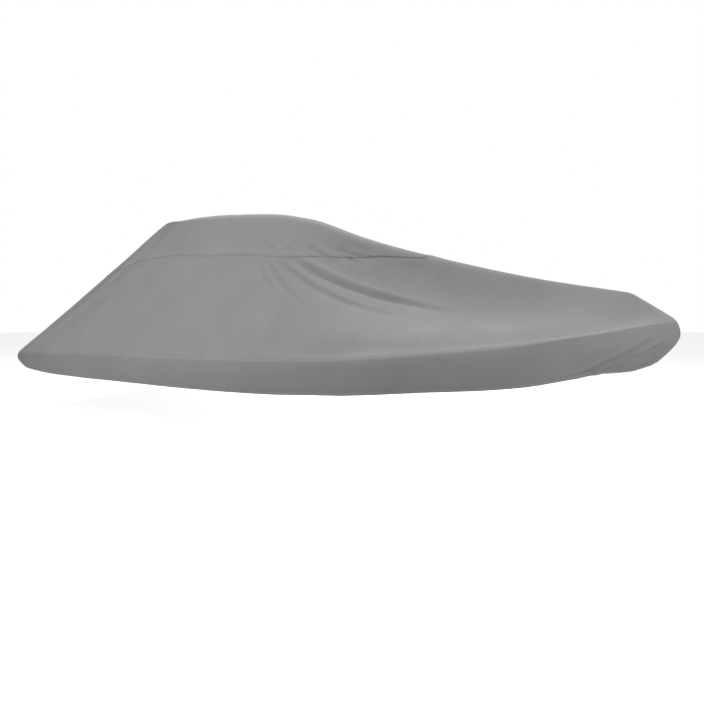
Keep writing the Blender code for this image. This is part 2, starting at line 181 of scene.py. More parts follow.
# The cover's lines, starboard side, from the stern to the nose, with heights above the
# table's own base: the spine, the crown's edge and how round it is, the rail, how far
# the hem is drawn in, the skirt's drop and how far it stands out at its knuckle, how far
# the cloth sags between crown and rail, how much of that lies towards the crown, how far
# it is drawn in halfway, and where the seam crosses (1 crown edge, 2 rail).
Rib = namedtuple("Rib", "spine_x crown_x crown_y crown_z edge_round rail_x rail_y rail_z "
                        "hem_in skirt out sag sag_up drawn_in seam")
RIBS = (
    Rib(-.55, -.98, .00, 2.094, .045, -4.425, .00, .262, .10, .268, .030, -.14, 0.0, .00, 1.416),
    Rib(-.55, -.98, .38, 2.094, .045, -4.425, .75, .262, .10, .268, .030, -.14, 0.0, .01, 1.416),
    Rib(-.50, -.96, .58, 2.096, .045, -4.41, 1.06, .272, .10, .275, .030, -.135, 0.0, .10, 1.413),
    Rib(-.45, -.90, .66, 2.096, .042, -4.34, 1.18, .277, .05, .277, .028, -.125, 0.0, .15, 1.409),
    Rib(-.40, -.80, .70, 2.088, .035, -4.08, 1.215, .274, .06, .292, .020, -.115, 0.0, .17, 1.380),
    Rib(-.35, -.69, .71, 2.078, .032, -3.65, 1.228, .285, .04, .308, .014, -.09, 0.0, .14, 1.330),
    Rib(-.30, -.60, .715, 2.070, .032, -3.20, 1.235, .295, .03, .320, .010, -.06, 0.0, .11, 1.290),
    Rib(-.05, -.25, .72, 2.055, .035, -1.70, 1.25, .358, .03, .350, .008, .03, 0.0, .02, 1.262),
    Rib(.45, .35, .71, 1.995, .035, .15, 1.25, .404, .02, .338, .008, .03, -0.5, .00, 1.294),
    Rib(1.00, .98, .68, 1.912, .030, 1.20, 1.24, .439, .01, .319, .008, .06, 0.0, .00, 1.290),
    Rib(1.25, 1.32, .62, 1.835, .030, 1.90, 1.205, .475, .00, .297, .008, .14, 0.3, .00, 1.225),
    Rib(1.80, 1.90, .47, 1.605, .035, 2.60, 1.08, .545, .00, .298, .010, .22, 0.7, .00, 1.080),
    Rib(2.50, 2.60, .33, 1.380, .035, 3.25, .84, .620, .00, .320, .012, .20, 0.7, .00, 0.985),
    Rib(3.30, 3.42, .18, 1.158, .025, 3.80, .52, .703, .03, .317, .020, .10, 0.5, .00, 0.0),
    Rib(3.75, 3.90, .10, 1.055, .015, 4.13, .25, .763, .06, .362, .030, .015, 0.0, .00, 0.0),
    Rib(3.93, 4.06, .05, 1.022, .010, 4.32, .09, .791, .10, .345, .030, .000, 0.0, .00, 0.0),
    Rib(3.95, 4.07, .00, 1.020, .010, 4.36, .00, .797, .09, .335, .030, .000, 0.0, .00, 0.0),
)
LEVEL_ENDS = [name not in ("crown_y", "rail_y") for name in Rib._fields]
SEAM_CLOSES = 0.850      # place along the ribs where the seam starts to close
SEAM_END = 0.882         # and where the crown comes to its point
SEAM_CURVE = 0.8         # how roundly it closes
CENTRE_REACH = 3         # the skirt's shift across fades over this many shifts from y = 0
STEP = 0.001             # used to feel for the cloth's slope
SPINE_STEPS = 2000       # used to find the spine's place at x = 0
TINY = 1e-5              # points closer than this are one point
CREASE_PLACES = (0.0, 0.10, 0.66, 0.84, 0.895, 0.96, 1.0)  # how far the crease is rounded
CREASE_REACH = (0.03, 0.045, 0.060, 0.060, 0.012, 0.016, 0.040)


def soft_edge(share):
    """Rises softly from 0 to 1 as share does."""
    share = np.clip(share, 0, 1)
    return share * share * (3 - 2 * share)


def rib_places():
    """Each rib's place from 0 at the stern to 1 at the nose, by length of rail."""
    rail = np.array([(rib.rail_x, rib.rail_y) for rib in RIBS])
    lengths = np.hypot(*np.diff(rail, axis=0).T)
    places = np.concatenate([[0.0], np.cumsum(lengths)])
    return places / places[-1]


def rib_at(along):
    """The rib at any place, from smooth curves that don't overshoot the table."""
    knots = rib_places()
    steps = np.diff(knots)
    i = np.clip(np.searchsorted(knots, along) - 1, 0, len(steps) - 1)
    t = (along - knots[i]) / steps[i]
    columns = []
    for values, level in zip(np.array(RIBS).T, LEVEL_ENDS):
        rises = np.diff(values) / steps
        slopes = np.zeros_like(values)
        before = 2 * steps[1:] + steps[:-1]
        after = steps[1:] + 2 * steps[:-1]
        same_way = rises[:-1] * rises[1:] > 0
        safe = np.where(same_way, rises[:-1], 1), np.where(same_way, rises[1:], 1)
        slopes[1:-1] = same_way * (before + after) / (before / safe[0] + after / safe[1])
        if not level:
            slopes[0] = rises[0]
            slopes[-1] = rises[-1]
        columns.append((1 + 2 * t) * (1 - t) ** 2 * values[i]
                       + t * (1 - t) ** 2 * steps[i] * slopes[i]
                       + t * t * (3 - 2 * t) * values[i + 1]
                       + t * t * (t - 1) * steps[i] * slopes[i + 1])
    return Rib(*columns)


def runs(along):
    """Metres of cloth on a rib: spine to crown edge, on to the rail, and on to the hem."""
    rib = rib_at(along)
    crown = np.hypot(rib.crown_x - rib.spine_x, rib.crown_y)
    plan = np.hypot(rib.rail_x - rib.crown_x, rib.rail_y - rib.crown_y)
    return np.maximum(crown, TINY), np.hypot(plan, rib.crown_z - rib.rail_z), rib.skirt


def metres_at(along, down):
    """How many metres of cloth lie between the spine and each place."""
    crown, flank, skirt = runs(along)
    return (crown * np.clip(down, 0, 1) + flank * np.clip(down - 1, 0, 1)
            + skirt * np.clip(down - 2, 0, 1))


def down_at(along, metres):
    """The place down a rib that has so many metres of cloth above it."""
    crown, flank, skirt = runs(along)
    return (np.clip(metres / crown, 0, 1) + np.clip((metres - crown) / flank, 0, 1)
            + np.clip((metres - crown - flank) / skirt, 0, 1))


def bare_cloth(along, down):
    """The starboard cloth without its folds. down is 0 on the spine, 1 on the
    crown's edge, 2 on the rail and 3 at the hem."""
    rib = rib_at(along)
    on_crown = np.clip(down, 0, 1)
    below_edge = np.clip(down - 1, 0, 1)
    below_rail = np.clip(down - 2, 0, 1)
    x = rib.spine_x + (rib.crown_x - rib.spine_x) * on_crown
    x = x + (rib.rail_x - rib.crown_x) * below_edge
    y = rib.crown_y * on_crown + (rib.rail_y - rib.crown_y) * below_edge
    y = y - rib.drawn_in * 4 * below_edge * (1 - below_edge)

    # The cambered crown and the sagging flank meet in a rounded edge.
    crown_run = np.hypot(rib.crown_x - rib.spine_x, rib.crown_y)
    flank_run = np.hypot(rib.rail_x - rib.crown_x, rib.rail_y - rib.crown_y)
    t = np.where(down <= 1, (on_crown - 1) * crown_run / flank_run, below_edge)
    half_width = np.where(rib.crown_x < CROWN_TAPERS_AT, CROWN_HALF_WIDTH, rib.crown_y)
    camber = CAMBER * np.minimum(1, half_width / FULL_CAMBER_AT)
    inside = np.minimum(y / np.maximum(half_width, TINY), 1)
    crown_z = rib.crown_z + camber * (1 - inside ** 2)
    slope_at_edge = 4 * rib.sag * (1 + rib.sag_up)
    sagging = 4 * rib.sag * t * (1 - t) * (1 + rib.sag_up * (1 - 2 * t))
    sagging = np.where(t > 0, sagging, slope_at_edge * t)
    flank_z = rib.crown_z - (rib.crown_z - rib.rail_z) * t - sagging
    edge = 4 * rib.edge_round ** 2 * (1 - below_edge)
    z = 0.5 * (crown_z + flank_z - np.sqrt((crown_z - flank_z) ** 2 + edge))

    # Below the rail the skirt swells out to its knuckle, then turns in to the hem.
    before = rib_at(np.clip(along - STEP, 0, 1))
    after = rib_at(np.clip(along + STEP, 0, 1))
    run_x = after.rail_x - before.rail_x
    run_y = after.rail_y - before.rail_y
    run = np.hypot(run_x, run_y)
    swell = rib.out * np.sin(0.5 * pi * np.minimum(below_rail / KNUCKLE, 1))
    tuck = np.maximum(below_rail - KNUCKLE, 0) / (1 - KNUCKLE)
    out = swell - (rib.out + rib.hem_in) * tuck ** TUCK_POWER
    shift = run_x / run * out
    shift *= soft_edge(rib.rail_y / (CENTRE_REACH * abs(shift) + TINY))
    x = np.where(down > 2, rib.rail_x - run_y / run * out, x)
    y = np.where(down > 2, rib.rail_y + shift, y)
    z = np.where(down > 2, rib.rail_z - rib.skirt * below_rail, z)
    y = np.where((along <= 0) | (along >= 1), 0, y)
    return np.stack([x, -y, z], axis=-1)


def rounded_cloth(along, down):
    """The bare cloth with its crease rounded, more so amidships than at the bow."""
    crown, flank, skirt = runs(along)
    reach = np.interp(along, CREASE_PLACES, CREASE_REACH)
    below_rail = metres_at(along, down) - crown - flank
    rail = bare_cloth(along, np.full_like(down, 2.0))
    above = bare_cloth(along, 2 - reach / flank)
    below = bare_cloth(along, 2 + reach / skirt)
    t = np.clip((below_rail + reach) / (2 * reach), 0, 1)[..., None]
    arc = (1 - t) ** 2 * above + 2 * t * (1 - t) * rail + t * t * below
    return np.where((t > 0) & (t < 1), arc, bare_cloth(along, down))


def outward(along, down):
    """Unit normals of the cloth without its folds, pointing out of the cover."""
    ahead = rounded_cloth(np.minimum(along + STEP, 1), down)
    behind = rounded_cloth(np.maximum(along - STEP, 0), down)
    lower = rounded_cloth(along, np.minimum(down + STEP, 3))
    upper = rounded_cloth(along, np.maximum(down - STEP, 0))
    normals = np.cross(lower - upper, ahead - behind)
    return normals / np.linalg.norm(normals, axis=-1, keepdims=True)


fine_places = np.linspace(0, 1, SPINE_STEPS + 1)
amidships = np.array([np.interp(0.0, rib_at(fine_places).spine_x, fine_places)])
HELD_UP = np.array([0, 0, bare_cloth(amidships, np.zeros(1))[0, 2] - PACKED_CLOTH])


# Folds, seen from the side: each follows its points from its top end to its low end,
# and is a soft trough, or a ridge where its depth is below 0, with a raised lip along
# its upper side. port is its share of that on the port side.
Fold = namedtuple("Fold", "name part path width depth lip port")
FOLDS = (
    Fold("main fan fold", "flank", ((1.22, 1.44), (1.44, 1.305), (1.80, 1.125), (2.13, 1.015),
                                    (2.49, 0.915), (2.98, 0.82)), 0.034, 0.020, 0.015, 0.8),
    Fold("second fan fold", "flank", ((1.02, 1.45), (1.22, 1.310), (1.54, 1.110), (1.85, 0.965),
                                      (2.27, 0.845), (2.62, 0.78)), 0.032, 0.009, 0.007, 1.1),
    Fold("third fan fold", "flank", ((0.88, 1.46), (1.01, 1.345), (1.22, 1.14), (1.42, 0.985),
                                     (1.66, 0.86)), 0.034, 0.007, 0.004, 0.7),
    Fold("fourth fan fold", "flank", ((0.78, 1.46), (0.89, 1.347), (1.04, 1.173), (1.22, 0.97)),
         0.034, 0.006, 0.003, 1.2),
    Fold("upper stroke 1", "flank", ((0.86, 1.63), (0.98, 1.54), (1.12, 1.43)),
         0.024, 0.006, 0.005, 0.9),
    Fold("upper stroke 2", "flank", ((1.04, 1.62), (1.16, 1.535), (1.30, 1.42)),
         0.024, 0.006, 0.005, 0.6),
    Fold("upper stroke 3", "flank", ((1.36, 1.54), (1.48, 1.465), (1.64, 1.38)),
         0.028, 0.008, 0.005, 1.1),
    Fold("brow dent", "flank", ((1.62, 1.50), (1.88, 1.43), (2.15, 1.34)),
         0.080, 0.014, 0.0, 0.9),
    Fold("brow wrinkle 1", "flank", ((1.62, 1.50), (1.77, 1.454), (1.91, 1.42), (2.10, 1.365)),
         0.013, 0.009, 0.007, 0.8),
    Fold("brow wrinkle 2", "flank", ((1.68, 1.435), (1.80, 1.39), (1.93, 1.35), (2.14, 1.29)),
         0.013, 0.009, 0.007, 1.2),
    Fold("brow wrinkle 3", "flank", ((1.74, 1.56), (1.88, 1.51), (2.04, 1.45)),
         0.014, 0.007, 0.005, 0.5),
    Fold("brow rise", "flank", ((2.20, 1.37), (2.38, 1.345), (2.60, 1.31)),
         0.050, -0.010, 0.0, 1.0),
    Fold("aft stroke", "flank", ((-0.36, 1.30), (-0.21, 1.0), (-0.08, 0.70)),
         0.045, 0.003, 0.002, 0.6),
    Fold("bow gather 1", "skirt", ((3.58, 0.350), (3.73, 0.425), (3.92, 0.527), (4.07, 0.606),
                                   (4.20, 0.665)), 0.017, 0.028, 0.015, 0.8),
    Fold("bow gather 2", "skirt", ((3.70, 0.350), (3.83, 0.422), (3.98, 0.493), (4.18, 0.588),
                                   (4.30, 0.660)), 0.016, 0.026, 0.014, 1.1),
    Fold("bow gather 3", "skirt", ((3.80, 0.360), (3.92, 0.424), (4.10, 0.487), (4.23, 0.571),
                                   (4.33, 0.640)), 0.016, 0.024, 0.013, 0.9),
    Fold("bow gather 4", "skirt", ((3.92, 0.360), (4.04, 0.416), (4.19, 0.473),
                                   (4.32, 0.574)), 0.016, 0.019, 0.010, 0.7),
)
LIP_AT = 1.4             # the lip's distance from the trough, in fold widths
FOLD_STARTS = 0.2        # share of a fold's length over which it starts
FOLD_ENDS = {"flank": 0.5, "skirt": 0.25}  # and over which it dies out
FLANK_FADE = 0.10        # the flank's folds fade out over this much cloth above the rail
SKIRT_FADE = 0.04        # the skirt's over this much below it
HEM_FADE = 0.05          # and over this much above the hem
GUIDE_COLUMNS = 700      # the bare cloth is sampled this finely to find a fold's line
GUIDE_ROWS = 240
LINE_POINTS = 60
LINE_CURVES = 4          # degree of the curve that a fold's line follows sideways
FURROW_IN = 0.075        # the furrow inside the rail: its distance from the rail
FURROW_INNER = 0.14      # how wide its inner bank is
FURROW_OUTER = 0.045     # and its outer one
FURROW_PLACES = (0.0, 0.66, 0.75, 0.84, 0.93, 0.98, 1.0)
FURROW_DEPTHS = (0.0, 0.004, 0.012, 0.020, 0.026, 0.010, 0.0)
LIP_PLACES = (0.0, 0.87, 0.90, 0.97, 1.0)  # the crease stands up in a lip at the bow
LIP_HEIGHTS = (0.0, 0.0, 0.004, 0.003, 0.0)
LIP_WIDTH = 0.008

# Unevenness of the hanging cloth, without a pattern: its size and rise in metres, and
# the seed of the starboard side. The seams pucker between stitches, and the hem ripples
# where its cord draws it in.
Uneven = namedtuple("Uneven", "name size rise seed")
BROAD = Uneven("broad hollows", 0.45, 0.0030, 11)
SMALL = Uneven("small hollows", 0.15, 0.0008, 12)
PUCKER = Uneven("seam puckers", 0.035, 0.0012, 13)
RIPPLE = Uneven("hem ripples", 0.065, 0.0020, 14)
PORT_SEED = 20           # added on the port side
CELLS = 512              # the unevenness would repeat after this many hollows
PUCKER_REACH = 0.05
RIPPLE_REACH = 0.18
CALM_WITHIN = 0.3        # the unevenness fades out towards the centreline
rail_length = sum(np.hypot(b.rail_x - a.rail_x, b.rail_y - a.rail_y)
                  for a, b in zip(RIBS, RIBS[1:]))


def through(points, count=LINE_POINTS):
    """Points along a smooth line through a few given points."""
    points = np.array(points, float)
    knots = np.concatenate([[0], np.cumsum(np.linalg.norm(np.diff(points, axis=0), axis=1))])
    at = np.linspace(0, knots[-1], count)
    slopes = np.gradient(points, knots, axis=0)
    i = np.clip(np.searchsorted(knots, at) - 1, 0, len(knots) - 2)
    step = (knots[i + 1] - knots[i])[:, None]
    t = (at[:, None] - knots[i][:, None]) / step
    return ((1 + 2 * t) * (1 - t) ** 2 * points[i] + t * (1 - t) ** 2 * step * slopes[i]
            + t * t * (3 - 2 * t) * points[i + 1] + t * t * (t - 1) * step * slopes[i + 1])


def on_cloth(path, guide):
    """A fold's line in space, from the points of the bare cloth that lie behind it."""
    line = through(path)
    steps = np.linspace(0, 1, len(line))
    nearest = [((guide[:, (0, 2)] - spot) ** 2).sum(1).argmin() for spot in line]
    sideways = np.polyval(np.polyfit(steps, guide[nearest, 1], LINE_CURVES), steps)
    return np.stack([line[:, 0], sideways, line[:, 1]], axis=1)


def beside(line, points):
    """How far along a fold's line each point lies, from 0 to 1, and how far above it."""
    spots = points.reshape(-1, 3)
    nearest = np.argmin(((spots[:, None] - line[None]) ** 2).sum(-1), axis=1)
    run = np.gradient(line, axis=0)
    run /= np.linalg.norm(run, axis=1, keepdims=True)
    away = spots - line[nearest]
    ahead = (away * run[nearest]).sum(1)
    aside = away - ahead[:, None] * run[nearest]
    upper = run[nearest, 0] * aside[:, 2] - run[nearest, 2] * aside[:, 0]
    above = np.linalg.norm(aside, axis=1) * np.sign(upper)
    share = nearest / (len(line) - 1) + ahead / np.linalg.norm(np.diff(line, axis=0), axis=1).sum()
    return share.reshape(points.shape[:2]), above.reshape(points.shape[:2])


guide_along, guide_down = np.meshgrid(np.linspace(0, 1, GUIDE_COLUMNS),
                                      np.linspace(0, 3, GUIDE_ROWS))
bare_points = bare_cloth(guide_along, guide_down).reshape(-1, 3)
fold_lines = [on_cloth(fold.path, bare_points) for fold in FOLDS]


def uneven(kind, side, u, v):
    """A soft rise and fall without a pattern, over places given in metres."""
    seed = kind.seed + (PORT_SEED if side > 0 else 0)
    spots = np.random.default_rng(seed).uniform(-1, 1, (CELLS, CELLS))
    u, v = np.broadcast_arrays(u / kind.size, v / kind.size)
    i = np.floor(u).astype(int)
    j = np.floor(v).astype(int)
    s = (u - i) ** 2 * (3 - 2 * (u - i))
    t = (v - j) ** 2 * (3 - 2 * (v - j))
    near = (1 - s) * spots[i % CELLS, j % CELLS] + s * spots[(i + 1) % CELLS, j % CELLS]
    far = ((1 - s) * spots[i % CELLS, (j + 1) % CELLS]
           + s * spots[(i + 1) % CELLS, (j + 1) % CELLS])
    return kind.rise * ((1 - t) * near + t * far)


def relief(along, down, points, side):
    """How far the cloth stands out from its bare form. side is -1 for starboard."""
    metres = metres_at(along, down)
    crown, flank, skirt = runs(along)
    below_rail = metres - crown - flank
    above_hem = skirt - below_rail
    height = np.zeros_like(metres)
    reach = {"flank": soft_edge(-below_rail / FLANK_FADE),
             "skirt": soft_edge(below_rail / SKIRT_FADE) * soft_edge(above_hem / HEM_FADE)}
    for fold, line in zip(FOLDS, fold_lines):
        share, above = beside(line, points)
        fade = soft_edge(share / FOLD_STARTS) * soft_edge((1 - share) / FOLD_ENDS[fold.part])
        trough = fold.depth * np.exp(-(above / fold.width) ** 2)
        lip = fold.lip * np.exp(-((above - LIP_AT * fold.width) / fold.width) ** 2)
        strength = reach[fold.part] * fade * (fold.port if side > 0 else 1)
        height += strength * (lip - trough)
    depth = np.interp(along, FURROW_PLACES, FURROW_DEPTHS)
    past = below_rail + FURROW_IN
    bank = np.where(past < 0, FURROW_INNER, FURROW_OUTER)
    height -= depth * np.exp(-(past / bank) ** 2)
    lip = np.interp(along, LIP_PLACES, LIP_HEIGHTS)
    height += lip * np.exp(-(below_rail / LIP_WIDTH) ** 2)
    run = along * rail_length
    ends = soft_edge(run / CALM_WITHIN) * soft_edge((rail_length - run) / CALM_WITHIN)
    calm = ends * soft_edge(metres / CALM_WITHIN)
    height += calm * (uneven(BROAD, side, run, metres) + uneven(SMALL, side, run, metres))
    from_seam = metres - metres_at(along, seam_at(along))
    near_seam = np.exp(-(from_seam / PUCKER_REACH) ** 2)
    height += calm * near_seam * uneven(PUCKER, side, run, np.zeros(1))
    near_hem = soft_edge(1 - above_hem / RIPPLE_REACH)
    return height + calm * near_hem * uneven(RIPPLE, side, run, np.zeros(1))


def seam_at(along):
    """Where the seam crosses each rib; past the crown's point it is the centreline."""
    to_point = np.clip((SEAM_END - along) / (SEAM_END - SEAM_CLOSES), 0, 1)
    seam = rib_at(np.minimum(along, SEAM_CLOSES)).seam
    return np.where(along > SEAM_CLOSES, seam * to_point ** SEAM_CURVE, seam)


def cloth(along, down, side):
    """Points on the outer face of one side's cloth and its outward normals, both as
    they are on the starboard side."""
    points = rounded_cloth(along, down)
    normals = outward(along, down)
    points = points + normals * relief(along, down, points, side)[..., None]
    return points - HELD_UP, normals


def places_spaced(spacings, end=1.0):
    """Places along the ribs from a table of (place, spacing up to it in metres)."""
    lines = [0.0]
    for place, spacing in spacings:
        place = min(place, end)
        count = max(1, round((place - lines[-1]) * rail_length / spacing))
        if place > lines[-1]:
            lines.extend(np.linspace(lines[-1], place, count + 1)[1:])
    return np.array(lines)


def rows_between(start, end, near_start, near_end, count):
    """Rows between two lines of the cloth, in metres from the spine: at set distances
    from either line, closer where there is little room, and even in the middle."""
    tight = np.minimum(1, (end - start) / (2 * (near_start[-1] + near_end[-1])))
    first = [start + tight * metres for metres in near_start]
    last = [end - tight * metres for metres in reversed(near_end)]
    shares = np.linspace(0, 1, count + 2)[1:-1]
    return np.array(first + [first[-1] + (last[0] - first[-1]) * s for s in shares] + last)


def turned_in(points, normals, radius, flap):
    """The sheet with its last row turned inwards round a radius and back up inside it.
    flap lists how far up and how far in each row of the turned-in edge lies."""
    down = points[-1] - points[-2]
    down /= np.maximum(np.linalg.norm(down, axis=1, keepdims=True), TINY)
    inward = -normals[-1] + (normals[-1] * down).sum(1, keepdims=True) * down
    inward /= np.linalg.norm(inward, axis=1, keepdims=True)
    rows = [points[-1] + radius * (sin(angle) * down + (1 - cos(angle)) * inward)
            for angle in np.linspace(0, pi, TURN_STEPS + 1)[1:]]
    rows += [points[-1] + radius * (inwards * inward - up * down) for up, inwards in flap]
    return np.concatenate([points, rows])


def sheet_piece(name, points, wear_and_painted_light):
    """A sheet laid on a grid of points, given the cloth's thickness inwards. Its UV map
    is in metres of cloth, across from amidships, and the last argument says where it is
    rubbed paler, above 0, with a painted highlight along the crease, and where it has
    painted shade beside a seam, below 0."""
    rows, columns = points.shape[:2]
    bm = bmesh.new()
    # The grid lies between -0.5 and 0.5 both ways until its points are placed.
    bmesh.ops.create_grid(bm, x_segments=columns - 1, y_segments=rows - 1, size=0.5)
    uv = bm.loops.layers.uv.new("cloth")
    wear_and_light_attr = bm.verts.layers.float.new("wear_and_painted_light")
    steps_along = np.linalg.norm(np.diff(points, axis=1), axis=2)
    steps_down = np.linalg.norm(np.diff(points, axis=0), axis=2)
    warp = np.pad(np.cumsum(steps_along, axis=1), ((0, 0), (1, 0)))
    weft = np.pad(np.cumsum(steps_down, axis=0), ((1, 0), (0, 0)))
    amidships_column = np.argmin(abs(points[rows // 2, :, 0]))
    warp -= warp[:, amidships_column:amidships_column + 1]
    places = {}
    for vert in bm.verts:
        column = round((vert.co.x + 0.5) * (columns - 1))
        row = round((vert.co.y + 0.5) * (rows - 1))
        places[vert] = (row, column)
        vert.co = points[row, column]
        vert[wear_and_light_attr] = wear_and_painted_light[row, column]
    for face in bm.faces:
        for loop in face.loops:
            row, column = places[loop.vert]
            loop[uv].uv = (warp[row, column], weft[row, column])
    bmesh.ops.remove_doubles(bm, verts=bm.verts, dist=TINY)
    bmesh.ops.recalc_face_normals(bm, faces=bm.faces[:])
    outer = max(bm.faces, key=lambda face: face.calc_center_median().z)
    if outer.normal.z < 0:
        bmesh.ops.reverse_faces(bm, faces=bm.faces[:])
    mesh = bpy.data.meshes.new(name)
    bm.to_mesh(mesh)
    bm.free()
    mesh.shade_smooth()
    piece = bpy.data.objects.new(name, mesh)
    bpy.context.scene.collection.objects.link(piece)
    thickness = piece.modifiers.new("thickness", "SOLIDIFY")
    thickness.thickness = CLOTH
    thickness.offset = -1.0
    return piece


# Woven polyester canvas, solution dyed a neutral mid grey and coated: matt, with a
# fine plain weave and slubs that give the eye a faint crossed grain. It is rubbed a
# little paler over the crease and the hem, and along the crease that paler tone is
# also a painted highlight. Where a seam would shade it, it carries painted shade.
CANVAS_GREY = "#878786"
CANVAS_DARK = "#80807F"
# paler tone of edge wear, and a painted highlight along the crease
CANVAS_WEAR_AND_HIGHLIGHT = "#969694"
# painted shade beside the seams
CANVAS_PAINTED_SHADE = "#666664"
THREAD_MM = 3.0          # the weave, drawn six times as coarse as it is so that it shows
BAND = 2 * pi / 20       # length of one band of a Wave texture at scale 1
SLUB_MM = (14.0, 220.0)  # thickness and length of a slub
MOTTLE_MM = 450.0        # broad unevenness of the dye
RUB_MM = 25.0            # patches in which it is rubbed
SLUB_TONE = 0.35         # the slubs' share in its unevenness
TONE_RANGE = (0.6, 1.1)  # the sum of both, from dark to grey
WEAVE_RELIEF = 0.3       # the weave's height beside the slubs'

canvas, tree, shader = material_of("polyester_canvas")
cloth_uv = add(tree, "UVMap", {"uv_map": "cloth"}).outputs["UV"]
millimetres = add(tree, "Mapping", Vector=cloth_uv, Scale=(1000, 1000, 1000)).outputs["Vector"]
warp_slub = add(tree, "Mapping", Vector=millimetres,
                Scale=(1 / SLUB_MM[1], 1 / SLUB_MM[0], 1)).outputs["Vector"]
weft_slub = add(tree, "Mapping", Vector=millimetres,
                Scale=(1 / SLUB_MM[0], 1 / SLUB_MM[1], 1)).outputs["Vector"]
warp_noise = add(tree, "TexNoise", Vector=warp_slub, Scale=1.0, Detail=2.0).outputs["Fac"]
weft_noise = add(tree, "TexNoise", Vector=weft_slub, Scale=1.0, Detail=2.0).outputs["Fac"]
slubs = add(tree, "Math", {"operation": "ADD"}, i0=warp_noise, i1=weft_noise).outputs["Value"]
mottle = add(tree, "TexNoise", Vector=millimetres, Scale=1 / MOTTLE_MM,
             Detail=3.0).outputs["Fac"]
uneven_dye = add(tree, "Math", {"operation": "MULTIPLY_ADD"}, i0=slubs, i1=SLUB_TONE,
                 i2=mottle).outputs["Value"]
tone = add(tree, "MapRange", Value=uneven_dye, From_Min=TONE_RANGE[0],
           From_Max=TONE_RANGE[1]).outputs["Result"]
dyed = add(tree, "Mix", {"data_type": "RGBA"}, Factor=tone, i6=linear(CANVAS_DARK),
           i7=linear(CANVAS_GREY)).outputs[2]
# this attribute: edge wear with a painted highlight on the crease above 0, painted seam shade below
# 0
wear_and_light_attr = add(tree, "Attribute", {"attribute_name": "wear_and_painted_light"}).outputs["Fac"]
patches = add(tree, "TexNoise", Vector=millimetres, Scale=1 / RUB_MM, Detail=4.0).outputs["Fac"]
# rubbed paler: edge wear, and a painted highlight along the crease
rub_and_painted_highlight = add(tree, "Math", {"operation": "MULTIPLY", "use_clamp": True}, i0=wear_and_light_attr,
             i1=patches).outputs["Value"]
paler = add(tree, "Mix", {"data_type": "RGBA"}, Factor=rub_and_painted_highlight, i6=dyed,
            i7=linear(CANVAS_WEAR_AND_HIGHLIGHT)).outputs[2]
# painted shade beside the seams
painted_seam_shade = add(tree, "Math", {"operation": "MULTIPLY", "use_clamp": True}, i0=wear_and_light_attr,
             i1=-1.0).outputs["Value"]
colour = add(tree, "Mix", {"data_type": "RGBA"}, Factor=painted_seam_shade, i6=paler,
             i7=linear(CANVAS_PAINTED_SHADE)).outputs[2]
tree.links.new(colour, shader.inputs["Base Color"])
shader.inputs["Roughness"].default_value = 0.85
shader.inputs["Specular IOR Level"].default_value = 0.35
shader.inputs["Sheen Weight"].default_value = 0.15
shader.inputs["Sheen Roughness"].default_value = 0.5
warp_bands = add(tree, "TexWave", {"bands_direction": "Y"}, Vector=millimetres,
                 Scale=BAND / THREAD_MM).outputs["Fac"]
weft_bands = add(tree, "TexWave", {"bands_direction": "X"}, Vector=millimetres,
                 Scale=BAND / THREAD_MM).outputs["Fac"]
crossings = add(tree, "TexChecker", Vector=millimetres, Scale=1 / THREAD_MM).outputs["Fac"]
weave = add(tree, "Mix", {"data_type": "FLOAT"}, i0=crossings, i2=warp_bands,
            i3=weft_bands).outputs["Result"]
grain = add(tree, "Math", {"operation": "MULTIPLY_ADD"}, i0=weave, i1=WEAVE_RELIEF,
            i2=slubs).outputs["Value"]
bump = add(tree, "Bump", Height=grain, Strength=0.25, Distance=0.002)
tree.links.new(bump.outputs["Normal"], shader.inputs["Normal"])

# The sheets' columns: places along the rail, with the spacing up to each in metres.
COLUMNS = ((0.0006, 0.006), (0.0012, 0.006), (0.09, 0.04), (0.16, 0.016), (0.45, 0.034),
           (0.66, 0.026), (0.850, 0.022), (0.882, 0.014), (0.93, 0.020), (0.9988, 0.014),
           (0.9994, 0.006), (1.0, 0.006))
CROWN_ROWS = 36          # even rows between the spine and the seam
CROWN_EDGE_ROWS = (0.0, 0.005, 0.012, 0.020, 0.028, 0.036, 0.046, 0.058)
CROWN_STITCHED = (0.005, 0.020)  # the two rows of stitches, from the crown's lower edge
LAP = 0.0022             # how far the felled edge stands over the flank
LAP_WIDTH = 0.028        # and how wide it is
LAP_FADE = 0.030         # above that it sinks back to the cloth over this much
SEAM_TURN = 0.0011       # radius of the edge turned under
SEAM_FLAP = ((4.0, 2.0), (14.0, 2.0))  # the turned-under edge, in turn radii: up and in
TURN_STEPS = 5
EDGE_SHADE = 0.003       # painted shade along the crown's lower edge reaches this far up
SEAM_PLACES = (0.25, 0.60, 0.74, 0.82)  # the seam is tighter, and shows less, further aft
LAP_SHARES = (0.4, 0.6, 0.9, 1.0)  # how much of its lap stands up at each place
SHADE_SHARES = (0.0, 0.25, 0.5, 1.0)  # and how much of its painted shade shows
SIDES = (("starboard", -1), ("port", 1))

stitch_rows = []         # lines of stitches for the seam thread, on the cloth's outer face
places = places_spaced(COLUMNS, SEAM_END)
seam_metres = metres_at(places, seam_at(places))
metres = rows_between(np.zeros_like(places), seam_metres, (0.0,), CROWN_EDGE_ROWS, CROWN_ROWS)
along = np.broadcast_to(places, metres.shape)
above_seam = seam_metres - metres
lap = LAP * (1 - soft_edge((above_seam - LAP_WIDTH) / LAP_FADE))
lap *= np.interp(places, SEAM_PLACES, LAP_SHARES)
